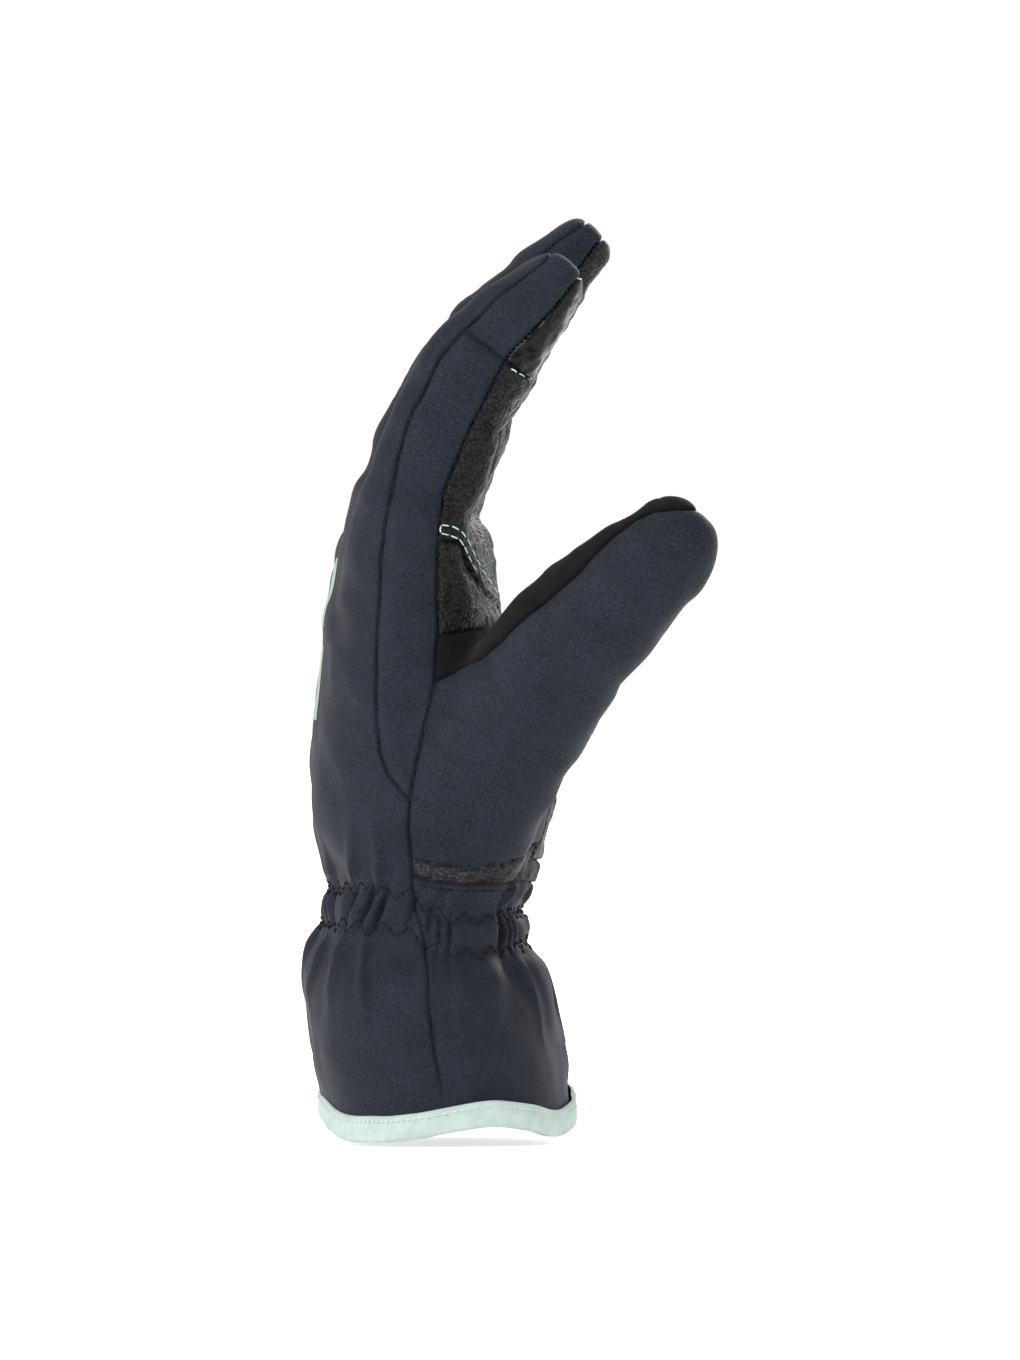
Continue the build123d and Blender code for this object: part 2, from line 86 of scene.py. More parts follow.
# Along a finger: share of its length, its back and its palm side across the line it
# starts as, in half-thicknesses, and its half-width as a share of that at the web.
INDEX_PROFILE = [
    (-0.3, -0.9, 0.9, 0.9), (0.0, -0.96, 1.1, 1.0), (0.17, -1.0, 1.23, 1.0),
    (0.26, -1.02, 1.2, 1.0), (0.36, -1.05, 1.04, 1.0), (0.46, -1.08, 1.07, 1.0),
    (0.58, -1.02, 1.04, 0.99), (0.68, -0.91, 0.92, 0.97), (0.78, -0.8, 0.82, 0.94),
    (0.86, -0.7, 0.71, 0.89), (0.93, -0.61, 0.58, 0.81), (1.0, -0.49, 0.38, 0.66),
]
OTHER_PROFILE = [
    (-0.3, -0.93, 0.93, 0.9), (0.0, -1.07, 1.1, 1.0), (0.17, -1.07, 1.23, 1.0),
    (0.26, -1.06, 1.19, 1.0), (0.34, -1.04, 1.04, 1.0), (0.43, -1.0, 1.11, 1.0),
    (0.54, -0.91, 1.09, 0.99), (0.64, -0.82, 0.97, 0.97), (0.74, -0.71, 0.87, 0.95),
    (0.83, -0.61, 0.77, 0.9), (0.92, -0.52, 0.64, 0.82), (1.0, -0.37, 0.45, 0.66),
]
BACK_SHARE, PALM_SHARE = -0.66, 0.44   # seams of the other fingers over half-thickness

# The thumb's line: X, Y, Z, half-depth in the XZ plane, half-width in Y.
THUMB = [
    (4.0, -33.0, 86.0, 19.0, 13.5), (14.0, -41.0, 106.0, 19.8, 15.0),
    (24.5, -49.0, 122.5, 18.7, 15.2), (32.3, -54.5, 132.9, 18.2, 15.0),
    (39.8, -58.0, 139.8, 17.4, 14.2), (47.0, -61.0, 146.4, 16.0, 13.2),
    (53.0, -62.8, 152.1, 14.7, 12.3), (58.5, -63.8, 157.4, 13.1, 11.0),
    (63.5, -64.4, 162.2, 10.9, 9.3), (67.4, -64.7, 165.8, 7.0, 6.6),
]
# The thumb's outer panel meets the palm leather here: place along the thumb, Y.
OUTER_EDGE = [(-12.0, -22.0), (-1.0, -18.0), (7.0, -12.0), (15.0, -17.0), (27.0, -29.0),
              (41.9, -41.0), (54.9, -50.5), (65.1, -54.0), (74.9, -57.0), (110.0, -60.8)]

# Seams as lines in XZ, from the hem up, seen from the thumb side.
SIDE_SEAM = [(0.3, -6.0), (0.2, 9.6), (-1.4, 15.8), (-3.1, 24.4), (-4.4, 34.5), (-5.1, 47.1),
             (-6.0, 54.7), (-8.2, 61.6), (-9.1, 68.3), (-9.4, 74.5), (-10.2, 83.0), (-9.6, 90.8)]
HAND_BACK_SEAM = [(-11.6, 92.5), (-15.6, 97.6), (-17.8, 103.8), (-18.6, 111.1), (-18.9, 127.5),
                  (-18.6, 135.9), (-17.8, 147.3)]
HAND_PALM_SEAM = [(-8.2, 101.0), (-6.0, 111.1), (-3.1, 121.8), (-2.6, 127.5), (-1.7, 135.9),
                  (-2.3, 147.3)]
INDEX_BACK_SEAM = [(-17.5, 155.0), (-16.1, 164.2), (-14.5, 172.6), (-13.3, 180.5), (-11.6, 186.7),
                   (-8.8, 194.0), (-5.4, 200.7), (-1.4, 208.0), (2.5, 212.6), (6.4, 217.1),
                   (12.0, 222.2), (18.8, 228.4), (25.6, 234.0), (32.0, 239.5)]
INDEX_PALM_SEAM = [(-2.3, 155.6), (-1.7, 165.2), (-0.3, 172.6), (1.3, 177.0), (4.7, 185.0),
                   (8.7, 193.4), (12.1, 200.2), (15.5, 207.0), (17.1, 209.2), (21.1, 213.2),
                   (25.6, 217.7), (30.7, 223.3), (33.5, 226.7), (37.0, 231.0)]
CROSS_SEAM = [(21.7, 202.5), (15.5, 207.0), (4.7, 215.4)]
THUMB_SEAM = [(-3.1, 122.0), (3.1, 126.3), (9.3, 128.9), (14.3, 132.6), (20.0, 138.2),
              (28.4, 145.4), (36.9, 152.9), (43.3, 160.1), (49.5, 165.0), (54.7, 167.4),
              (60.5, 168.0), (65.7, 167.4), (69.1, 165.0), (70.7, 163.4), (74.0, 160.0)]
GUSSET_TOP = [(-1.7, 134.2), (4.7, 135.3), (11.0, 136.8), (14.3, 139.9), (17.0, 143.0)]
OVERLAY = [(-1.7, 159.3), (3.1, 159.0), (4.2, 157.3), (5.3, 154.5), (7.6, 150.0),
           (10.4, 146.0), (13.8, 142.2), (17.0, 139.5)]
STRIP_TOP = [(-9.4, 74.5), (-2.6, 73.4), (5.9, 72.3), (14.3, 72.8), (20.0, 75.0), (26.5, 80.0)]
STRIP_LOW = [(-8.8, 70.0), (-2.6, 68.6), (5.9, 68.0), (14.3, 68.0), (26.0, 68.6)]
CROTCH_Y = -12.0                       # the crotch's seams end here, on the palm
GUSSET_TAPER = (12.0, -34.0)           # how much the gusset narrows to there, and from what Y
INDEX_CREASES = (27, 40)               # places of the palm's creases along the index finger

# Hem: height of its lower edge over X on the thumb side, and on the far side.
HEM = [(-36.0, 6.2), (-34.0, 5.7), (-30.0, 1.7), (-19.0, 0.0), (-8.0, 0.9), (3.0, 2.9),
       (13.0, 4.1), (23.0, 2.9), (31.0, 1.3), (34.0, 3.0), (36.0, 3.6)]
HEM_FAR = 8.5
# Binding round the wall's edge: out from the wall's outside, and up from the hem.
BIND_SECTION = [(-0.5, 7.1), (0.35, 6.9), (0.75, 6.2), (0.95, 3.6), (0.9, 1.2), (0.55, 0.3),
                (-0.3, 0.0), (-2.2, 0.0), (-3.1, 0.3), (-3.5, 1.2), (-3.55, 3.6), (-3.35, 6.2),
                (-3.0, 6.9), (-2.2, 7.1)]
LINING_INSET = 3.0

# Gathers at the wrist: heights of the two rows of elastic stitching over X.
ROW_HIGH = [(-36.0, 67.5), (-20.0, 66.8), (-9.0, 65.6), (-2.0, 59.5), (8.0, 58.6), (24.0, 61.5)]
ROW_LOW = [(-36.0, 58.0), (-20.0, 57.0), (-9.0, 55.4), (-2.0, 49.8), (8.0, 49.6), (24.0, 53.5)]
PUCKERS = 28                           # even, so that folds of two meet round the back
WRIST_ROUND = 34.0                     # the wrist's radius, for noise that runs round it

# Bends: the zones that a joint's soft skin is split into, and spans along it, in millimetres.
WRIST_ZONE = (46.0, 78.0)
BASE_FROM, TIP_FROM = 4.5, 18.5        # a finger's two zones start here along it
BASE_BEND, TIP_BEND = (6.0, 17.2), (20.2, 41.0)
THUMB_HINGE = (54.9, 74.9)             # the thumb's hinges, along it
PRINT_Y = (-16.0, -6.0)
PRINT_ROWS = [(111.7, 131.5), (136.6, 155.0)]


# ---- tables, lines and sections ----
def on_table(table, at, column=1):
    """Values down one column of a table, on a smooth curve through its rows."""
    x = np.array([row[0] for row in table], float)
    y = np.array([row[column] for row in table], float)
    slope = np.gradient(y, x)
    at = np.clip(at, x[0], x[-1])
    i = np.clip(np.searchsorted(x, at) - 1, 0, len(x) - 2)
    h = x[i + 1] - x[i]
    t = (at - x[i]) / h
    rise = (3 - 2 * t) * t * t
    return (y[i] * (1 - rise) + y[i + 1] * rise
            + h * t * (1 - t) * ((1 - t) * slope[i] - t * slope[i + 1]))


def broken(table, at):
    """Values along a table of (place, value) pairs, by straight lines."""
    return np.interp(at, [row[0] for row in table], [row[1] for row in table])


def smoothstep(value, low, high):
    t = np.clip((value - low) / (high - low), 0, 1)
    return t * t * (3 - 2 * t)


def smooth_min(a, b, k):
    h = np.maximum(k - np.abs(a - b), 0) / k
    return np.minimum(a, b) - h * h * k / 4


def smooth_max(a, b, k):
    return -smooth_min(-a, -b, k)


def locate(line, x, z):
    """Place along a line of XZ points, and offset from it, positive to its right."""
    line = np.array(line, float)
    best = np.full(np.shape(x), 1e9)
    along, aside = np.zeros(np.shape(x)), np.zeros(np.shape(x))
    start, last = 0.0, len(line) - 2
    for i in range(last + 1):
        step = line[i + 1] - line[i]
        length = math.hypot(*step)
        ux, uz = step / length
        ox, oz = x - line[i][0], z - line[i][1]
        t = ox * ux + oz * uz
        kept = np.clip(t, -1e9 if i == 0 else 0.0, 1e9 if i == last else length)
        across = ox * uz - oz * ux
        gap = np.hypot(across, t - kept)
        nearer = gap < best
        best = np.where(nearer, gap, best)
        along = np.where(nearer, start + kept, along)
        aside = np.where(nearer, np.copysign(gap, across), aside)
        start += length
    return along, aside


def section(u, v, a, b, power):
    """Distance, near enough, from a superellipse of half-sizes a and b."""
    p, q = np.abs(u) / a, np.abs(v) / b
    r = (p**power + q**power) ** (1 / power) + 1e-5
    slope = r ** (1 - power) * np.hypot(p ** (power - 1) / a, q ** (power - 1) / b)
    return np.clip((r - 1) / np.maximum(slope, 1e-4), -25, 25)


def between_cells(grid, i, t, size):
    """Values between the eight cells of a grid from i on, which repeats at this size."""
    total = np.zeros(len(i))
    for corner in np.ndindex(2, 2, 2):
        weight = np.abs(1 - np.array(corner) - t).prod(1)
        x, y, z = ((i + corner) % size).T
        total += weight * grid[x, y, z]
    return total


def lattice_noise(points, size, seed=0):
    """Smooth noise between -1 and 1 with features of this size, the same on every run."""
    table = np.random.default_rng(SEED + seed).uniform(-1, 1, (NOISE_CELLS,) * 3)
    p = np.asarray(points, float) / size + 1000.0
    i = np.floor(p).astype(int)
    t = p - i
    t = t * t * (3 - 2 * t)
    return between_cells(table, i, t, NOISE_CELLS)


# ---- the outside as a field of distances ----
def profile_of(name, share):
    """Offset of a finger's middle line to the palm, half-thickness, share of width."""
    table = INDEX_PROFILE if name == "index" else OTHER_PROFILE
    thick = FINGERS[name][5]
    back, palm = thick * on_table(table, share, 1), thick * on_table(table, share, 2)
    return (back + palm) / 2, (palm - back) / 2, on_table(table, share, 3)


def finger_line(name):
    """Points of a finger's middle line in XZ."""
    _, x, z, length, _, _, _, lean_tip = FINGERS[name]
    count = 40
    points = []
    for i in range(count + 1):
        share = i / count
        lean = math.radians(LEAN_BASE + (lean_tip - LEAN_BASE) * share ** LEAN_POWER)
        push = float(profile_of(name, share)[0])
        points.append((x + push * math.cos(lean), z - push * math.sin(lean)))
        x += math.sin(lean) * length / count
        z += math.cos(lean) * length / count
    return points


LINES = {name: finger_line(name) for name in FINGERS}
THUMB_LINE = [(row[0], row[2]) for row in THUMB]
THUMB_PLACES = [0.0]
for before, after in zip(THUMB_LINE, THUMB_LINE[1:]):
    THUMB_PLACES.append(THUMB_PLACES[-1] + math.dist(before, after))
THUMB_ROWS = [(place, row[1], row[3], row[4]) for place, row in zip(THUMB_PLACES, THUMB)]


def body_section(z):
    """Middle in X and half-sizes of the hand and cuff at heights z."""
    back, palm = on_table(BODY, z, 1), on_table(BODY, z, 2)
    return (back + palm) / 2, (palm - back) / 2, on_table(BODY, z, 3)


def body_field(x, y, z):
    centre, depth, width = body_section(z)
    side = section(x - centre, y, depth, width, BODY_POWER)
    top = np.interp(y, [w[0] for w in WEB], [w[1] for w in WEB]) + 2 - 0.3 * (x + 8)
    return smooth_max(side, (z - top) * 0.95, 5.0)


def finger_field(name, x, y, z):
    middle, _, _, length, width, _, fan, _ = FINGERS[name]
    s, n = locate(LINES[name], x, z)
    _, half, wide = profile_of(name, s / length)
    side = section(n, y - middle - fan * s, half, width * wide, TUBE_POWER)
    return smooth_max(smooth_max(side, s - length, 3.5), -s - 22.0, 8.0)


def thumb_field(x, y, z):
    s, n = locate(THUMB_LINE, x, z)
    middle, a, b = (on_table(THUMB_ROWS, s, k) for k in (1, 2, 3))
    side = section(n, y - middle, a, b, TUBE_POWER)
    return smooth_max(smooth_max(side, s - THUMB_PLACES[-1], 4.0), -s - 8.0, 8.0)


def glove_field(x, y, z):
    """The whole outside: the hand and cuff with the fingers and the thumb grown on."""
    fingers = np.full(np.broadcast_shapes(x.shape, y.shape, z.shape), 25.0)
    for name in FINGERS:
        fingers = np.minimum(fingers, finger_field(name, x, y, z))
    hand = smooth_min(body_field(x, y, z), fingers, 5.0)
    return smooth_min(hand, thumb_field(x, y, z), 7.0)


def make_field():
    """The field on a grid of cells."""
    axes = [np.arange(a, b, CELL) for a, b in zip(LOW, HIGH)]
    x = axes[0][:, None, None]
    y = axes[1][None, :, None]
    z = axes[2][None, None, :]
    return glove_field(x, y, z).astype(np.float32)


FIELD = make_field()


def sample(points):
    """Field values at points, between the grid's own."""
    p = (points - np.array(LOW)) / CELL
    p = np.clip(p, 0, np.array(FIELD.shape) - 1.001)
    i = p.astype(int)
    return between_cells(FIELD, i, p - i, FIELD.shape)


def field_slope(points):
    step = 0.7 * CELL
    return np.stack([(sample(points + shift) - sample(points - shift)) / (2 * step)
                     for shift in step * np.eye(3)], 1)


def settle(points, rounds=2):
    """Moves points onto the surface, where the field is nought."""
    for _ in range(rounds):
        slope = field_slope(points)
        size = np.maximum((slope**2).sum(1), 0.09)
        move = -(sample(points) / size)[:, None] * slope
        points = points + np.clip(move, -CELL, CELL)
    return points


# ---- the surface as polygons ----
def first_mesh():
    grid = openvdb.FloatGrid(3 * CELL)
    grid.copyFromArray(np.clip(FIELD, -3 * CELL, 3 * CELL))
    grid.transform = openvdb.createLinearTransform(voxelSize=CELL)
    points, quads = grid.convertToQuads(isovalue=0.0)
    points = np.array(points, float) + np.array(LOW)
    quads = np.array(quads, int)
    a, b, c, d = (points[quads[:, k]] for k in range(4))
    if (np.cross(c - a, d - b) * (a + c)).sum() < 0:
        quads = quads[:, ::-1]
    for _ in range(3):
        total = np.zeros_like(points)
        count = np.zeros(len(points))
        for k in range(4):
            here, there = quads[:, k], quads[:, (k + 1) % 4]
            for m, other in ((here, there), (there, here)):
                np.add.at(total, m, points[other])
                np.add.at(count, m, 1)
        points = settle(points + 0.6 * (total / np.maximum(count, 1)[:, None] - points), 1)
    return settle(points), quads


WIDTH = 10     # most corners of a polygon while the seams are cut
NUDGE = 0.05   # step that tells which way a seam's measure grows
ON_SEAM = 0.04 # a corner this near to a seam is on it


def padded_rows(polygons):
    """Polygons as rows of one array, each filled up with its last corner."""
    return np.array([p + [p[-1]] * (WIDTH - len(p)) for p in polygons], int)


def corners(row):
    """A row's own corners, without the filling."""
    row = row.tolist()
    while len(row) > 3 and row[-1] == row[-2]:
        row.pop()
    return row


def snapped(points, measure, where, reach):
    """Draws points that are nearly on a seam onto it, along the surface."""
    value = measure(points)
    near = np.flatnonzero(where & (np.abs(value) < reach))
    p = points[near]
    normal = field_slope(p)
    normal /= np.linalg.norm(normal, axis=1)[:, None] + 1e-9
    slope = np.stack([(measure(p + shift) - measure(p - shift)) / (2 * NUDGE)
                      for shift in NUDGE * np.eye(3)], 1)
    slope -= (slope * normal).sum(1)[:, None] * normal
    size = np.maximum((slope**2).sum(1), 0.1)
    move = -(value[near] / size)[:, None] * slope
    points = points.copy()
    points[near] += np.clip(move, -0.6 * CELL, 0.6 * CELL)
    return points


def cut(points, rows, measure, where_of):
    """Splits the polygons along the seam where a measure is nought."""
    points = snapped(points, measure, where_of(points), 0.28 * CELL)
    value = measure(points)
    value[np.abs(value) < ON_SEAM] = 0.0
    value[~where_of(points)] = np.nan
    of_rows = value[rows]
    low = np.nanmin(np.where(np.isnan(of_rows), 1e9, of_rows), axis=1)
    high = np.nanmax(np.where(np.isnan(of_rows), -1e9, of_rows), axis=1)
    crossed = (low < 0) & (high > 0)
    added, at_edge, parts = [], {}, []
    for row in rows[crossed]:
        loop, marks = [], []
        own = corners(row)
        for a, b in zip(own, own[1:] + own[:1]):
            if value[a] == 0.0:
                marks.append(len(loop))
            loop.append(a)
            if value[a] * value[b] < 0:
                key = (min(a, b), max(a, b))
                if key not in at_edge:
                    t = value[a] / (value[a] - value[b])
                    at_edge[key] = len(points) + len(added)
                    added.append(points[a] + t * (points[b] - points[a]))
                marks.append(len(loop))
                loop.append(at_edge[key])
        parts += split(loop, marks)
    if added:
        points = np.vstack([points, added])
    rows = rows[~crossed]
    if parts:
        rows = np.vstack([rows, padded_rows(parts)])
    return points, rows


def split(loop, marks):
    """One polygon as two, between the two marked corners that lie furthest apart."""
    count = len(loop)
    best, chosen = 1, None
    for k, i in enumerate(marks):
        for j in marks[k + 1:]:
            apart = min(j - i, count - (j - i))
            if apart > best:
                best, chosen = apart, (i, j)
    if chosen is None:
        return [loop]
    i, j = chosen
    return [loop[i:j + 1], loop[j:] + loop[:i + 1]]


# ---- seams ----
def other_seam(name, share):
    """A seam along one of the other fingers, at a share of its half-thickness."""
    line = np.array(LINES[name])
    points = []
    for i in range(2, len(line), 2):
        step = line[min(i + 1, len(line) - 1)] - line[i - 1]
        ux, uz = step / math.hypot(*step)
        at = share * float(profile_of(name, i / (len(line) - 1))[1])
        points.append((line[i][0] + at * uz, line[i][1] - at * ux))
    return points


def seam_lines():
    backs, palms = [], []
    for name in FINGERS:
        back, palm = INDEX_BACK_SEAM, INDEX_PALM_SEAM
        if name != "index":
            back, palm = other_seam(name, BACK_SHARE), other_seam(name, PALM_SHARE)
        backs.append(SIDE_SEAM + HAND_BACK_SEAM + back)
        palms.append(SIDE_SEAM + HAND_PALM_SEAM + palm)
    return backs, palms


BACK_LINES, PALM_LINES = seam_lines()


def lane_of(points):
    return np.searchsorted(LANES, points[:, 1])


def past_seam(lines, points):
    """Distance past a seam towards the palm, by the seam of each point's own finger."""
    lane = lane_of(points)
    out = np.zeros(len(points))
    for k, line in enumerate(lines):
        mine = lane == k
        out[mine] = past_line(line, points[mine])
    return out


def past_back(p):
    return past_seam(BACK_LINES, p)


def past_palm(p):
    return past_seam(PALM_LINES, p)


def past_line(line, p):
    """Distance past a seam drawn in XZ, positive to its right."""
    return locate(line, p[:, 0], p[:, 2])[1]


def over_thumb_seam(p):
    return -past_line(THUMB_SEAM, p)


def over_gusset(p):
    taper = GUSSET_TAPER[0] * smoothstep(p[:, 1], GUSSET_TAPER[1], CROTCH_Y - 3.0)
    return taper - past_line(GUSSET_TOP, p)


def over_overlay(p):
    return -past_line(OVERLAY, p)


def past_cross(p):
    return past_line(CROSS_SEAM, p)


def past_edge(p):
    return p[:, 1] - broken(OUTER_EDGE, locate(THUMB_LINE, p[:, 0], p[:, 2])[0])


def over_strip(p):
    near = broken(STRIP_TOP, p[:, 0])
    return p[:, 2] - np.where(p[:, 1] < -17, near, 74.0)


def over_strip_low(p):
    return p[:, 2] - broken(STRIP_LOW, p[:, 0])


def hem_height(x, y):
    near = on_table(HEM, x)
    return near + (HEM_FAR - near) * smoothstep(y, -10.0, 40.0)


def over_hem(p):
    return p[:, 2] - hem_height(p[:, 0], p[:, 1]) - 3.0


def on_thumb(p):
    """Where the thumb's own surface is, past its root."""
    x, y, z = p[:, 0], p[:, 1], p[:, 2]
    return (thumb_field(x, y, z) < body_field(x, y, z)) & (x > 0) & (z < 176) & (y < -15)


def in_crotch(p):
    return (p[:, 1] < CROTCH_Y) & (p[:, 2] > 118) & (p[:, 0] < 15.5) & ~on_thumb(p)


SEAMS = [
    (over_hem, lambda p: p[:, 2] < 30),
    (past_back, lambda p: p[:, 2] > -9),
    (past_palm, lambda p: p[:, 2] > 88),
    (over_strip_low, lambda p: (past_palm(p) > -0.3) & (p[:, 2] < 90)),
    (over_strip, lambda p: (past_palm(p) > -0.3) & (p[:, 2] < 90)),
    (past_cross, lambda p: (lane_of(p) == 0) & (p[:, 2] > 190) & (past_back(p) > -0.3)),
    (over_thumb_seam, lambda p: on_thumb(p) | (in_crotch(p) & (p[:, 2] < 145))),
    (over_gusset, lambda p: in_crotch(p) & (p[:, 2] < 148)),
    (over_overlay, lambda p: in_crotch(p) & (p[:, 2] > 138) & (past_palm(p) > -0.3)),
    (past_edge, lambda p: (past_palm(p) > 0) & (p[:, 2] > 67) & (p[:, 2] < 172)
     & (on_thumb(p) | (p[:, 2] < 125))),
]

PANELS = ["back", "side", "palm", "front", "heel_strip", "crotch_patch", "gusset",
          "outer", "pad", "pad_side"]
(BACK, SIDE, PALM, FRONT, STRIP, PATCH, GUSSET, OUTER, PAD, PAD_SIDE) = range(len(PANELS))


def panel_of(p):
    """Number of the panel that each place on the surface belongs to."""
    z = p[:, 2]
    panel = np.full(len(p), PALM)
    thumb = on_thumb(p)
    crotch = in_crotch(p) & (z < 166)
    near_edge = (past_edge(p) < 0) & (thumb | (z < 125)) & (z < 172)
    panel[near_edge] = OUTER
    panel[crotch & (over_thumb_seam(p) > 0)] = GUSSET
    panel[crotch & (over_thumb_seam(p) > 0) & (over_gusset(p) > 0)] = PATCH
    panel[crotch & (over_overlay(p) > 0)] = PALM
    panel[thumb & (over_thumb_seam(p) > 0)] = GUSSET
    panel[over_strip(p) < 0] = STRIP
    panel[over_strip_low(p) < 0] = FRONT
    aside = ~thumb | (p[:, 0] < 2)
    panel[aside & (past_palm(p) < 0)] = SIDE
    panel[aside & (past_back(p) < 0)] = BACK
    tip = (lane_of(p) == 0) & (z > 190) & (past_cross(p) > 0)
    panel[tip & (panel == PALM)] = PAD
    panel[tip & (panel == SIDE)] = PAD_SIDE
    return panel


ZONES = ["cuff", "wrist", "hand", "thumb_base", "thumb_tip"]
ZONES += [f"{name}_{part}" for name in FINGERS for part in ("base", "tip")]


def size_of(name):
    """Length of a finger over that of the index."""
    return FINGERS[name][3] / FINGERS["index"][3]


def zone_of(p):
    """Number of the zone that each place is in, which sets the piece it goes into."""
    x, y, z = p[:, 0], p[:, 1], p[:, 2]
    zone = np.full(len(p), 2)
    zone[z < WRIST_ZONE[1]] = 1
    zone[z < WRIST_ZONE[0]] = 0
    thumb = on_thumb(p)
    s = locate(THUMB_LINE, x, z)[0]
    zone[thumb & (s > THUMB_HINGE[0] - 8.5)] = 3
    zone[thumb & (s > THUMB_HINGE[0] + 9.5)] = 4
    lane = lane_of(p)
    for k, name in enumerate(FINGERS):
        share = size_of(name)
        s = locate(LINES[name], x, z)[0]
        mine = (lane == k) & ~thumb & (z > 140)
        zone[mine & (s > BASE_FROM * share)] = 5 + 2 * k
        zone[mine & (s > TIP_FROM * share)] = 6 + 2 * k
    return zone


# ---- quads, and how the fabric lies ----
def quads_of(points, rows):
    """Each polygon as quads round its middle, and which polygon each quad is from."""
    own = [corners(row) for row in rows]
    sizes = np.array([len(c) for c in own])
    flat = np.concatenate([np.array(c) for c in own])
    ahead = np.concatenate([np.array(c[1:] + c[:1]) for c in own])
    source = np.repeat(np.arange(len(own)), sizes)
    middles = np.zeros((len(own), 3))
    np.add.at(middles, source, points[flat])
    middles /= sizes[:, None]
    pairs = np.sort(np.stack([flat, ahead], 1), axis=1)
    edges, of_edge = np.unique(pairs, axis=0, return_inverse=True)
    of_edge = of_edge.reshape(-1)
    halves = (points[edges[:, 0]] + points[edges[:, 1]]) / 2
    first_edge = len(points)
    first_middle = first_edge + len(edges)
    starts = np.concatenate([[0], np.cumsum(sizes)[:-1]])
    before = np.arange(len(flat)) - 1
    before[starts] = starts + sizes - 1
    quads = np.stack([flat, first_edge + of_edge, first_middle + source,
                      first_edge + of_edge[before]], 1)
    return np.vstack([points, halves, middles]), quads, source


def normals_of(points, quads):
    a, b, c, d = (points[quads[:, k]] for k in range(4))
    face = np.cross(c - a, d - b)
    total = np.zeros_like(points)
    for k in range(4):
        np.add.at(total, quads[:, k], face)
    return total / (np.linalg.norm(total, axis=1)[:, None] + 1e-12)


def from_seam(points, quads, panel):
    """Distance of each point from the nearest seam between two panels."""
    low = np.full(len(points), 99)
    high = np.full(len(points), -1)
    for k in range(4):
        np.minimum.at(low, quads[:, k], panel)
        np.maximum.at(high, quads[:, k], panel)
    on_seam = np.flatnonzero(low < high)
    tree = KDTree(len(on_seam))
    for k, i in enumerate(on_seam):
        tree.insert(points[i], k)
    tree.balance()
    return np.array([tree.find(p)[2] for p in points])


def around_wrist(p):
    centre, depth, width = body_section(p[:, 2])
    return np.arctan2(p[:, 1] / width, (p[:, 0] - centre) / depth)


def crests(phase, power):
    """Rounded folds with narrow crests, one to each turn of the phase, from 0 to 1."""
    return (0.5 + 0.5 * np.cos(2 * math.pi * phase)) ** power


def gathers(p):
    """How far the fabric stands in or out round the gathered wrist."""
    x, z = p[:, 0], p[:, 2]
    angle = around_wrist(p)
    ring = WRIST_ROUND * np.stack([np.cos(angle), np.sin(angle), 0 * angle], 1)
    low = broken(ROW_LOW, x) + 0.9 * lattice_noise(ring, 8.0, 1)
    high = broken(ROW_HIGH, x) + 0.9 * lattice_noise(ring, 8.0, 2)
    drift = ring + np.array([0, 0, 1.0]) * z[:, None] * 0.4
    phase = (PUCKERS * angle / (2 * math.pi) + 0.9 * lattice_noise(ring, 12.0, 3)
             + 0.4 * lattice_noise(drift, 7.0, 4) + 0.028 * (z - 60) * np.sin(angle))
    calm = 1 - 0.6 * np.exp(-((x + 3) / 8.0) ** 2) - 0.4 * smoothstep(-x, 25.0, 34.0)
    size = calm * (1.0 + 0.45 * lattice_noise(ring, 10.0, 5))
    ridge = np.abs(np.sin(math.pi * phase)) ** 0.75 - 0.62
    t = np.clip((z - low) / (high - low), 0, 1)
    between = (4.5 * ridge * size + 0.3) * (0.45 + 0.55 * np.sin(math.pi * t))
    below, above = np.clip(low - z, 0, None), np.clip(z - high, 0, None)
    fan = phase / 2 + 0.25 + 0.3 * lattice_noise(drift, 15.0, 15)

    def spread(gap, wide, rise, reach):
        near, far = np.exp(-gap / 4.0), np.exp(-((gap / reach) ** 1.6))
        return size * (1.75 * ridge * near + wide * smoothstep(gap, 0, rise) * far)

    under = spread(below, 5.4 * crests(fan, 3.0) - 1.7, 10, 15.0)
    over = spread(above, 3.2 * crests(fan + 0.4, 2.6) - 0.9, 6, 12.0)
    folds = np.where(z < low, under, np.where(z > high, over, between))
    uneven = 0.55 + 0.35 * lattice_noise(ring, 5.0, 16)
    return folds - uneven * (np.exp(-((z - low) / 1.5) ** 2) + np.exp(-((z - high) / 1.5) ** 2))


def soft_folds(p):
    """Long shallow folds of the loose shell, lying aslant."""
    along, across = (p[:, 2] - p[:, 0]) * 0.7, (p[:, 2] + p[:, 0]) * 0.7
    slant = np.stack([along / 2.6, p[:, 1] / 1.4, across], 1)
    waves = lattice_noise(slant, 7.5, 17)
    large = lattice_noise(p, 26.0, 6)
    cuff = 0.9 * lattice_noise(p * np.array([1.0, 1.0, 0.6]), 15.0, 18)
    cuff *= smoothstep(-p[:, 2], -56.0, -40.0) * smoothstep(p[:, 2], 8.0, 20.0)
    return 0.7 * large + 0.8 * np.sign(waves) * np.abs(waves) ** 0.8 + 1.3 * cuff


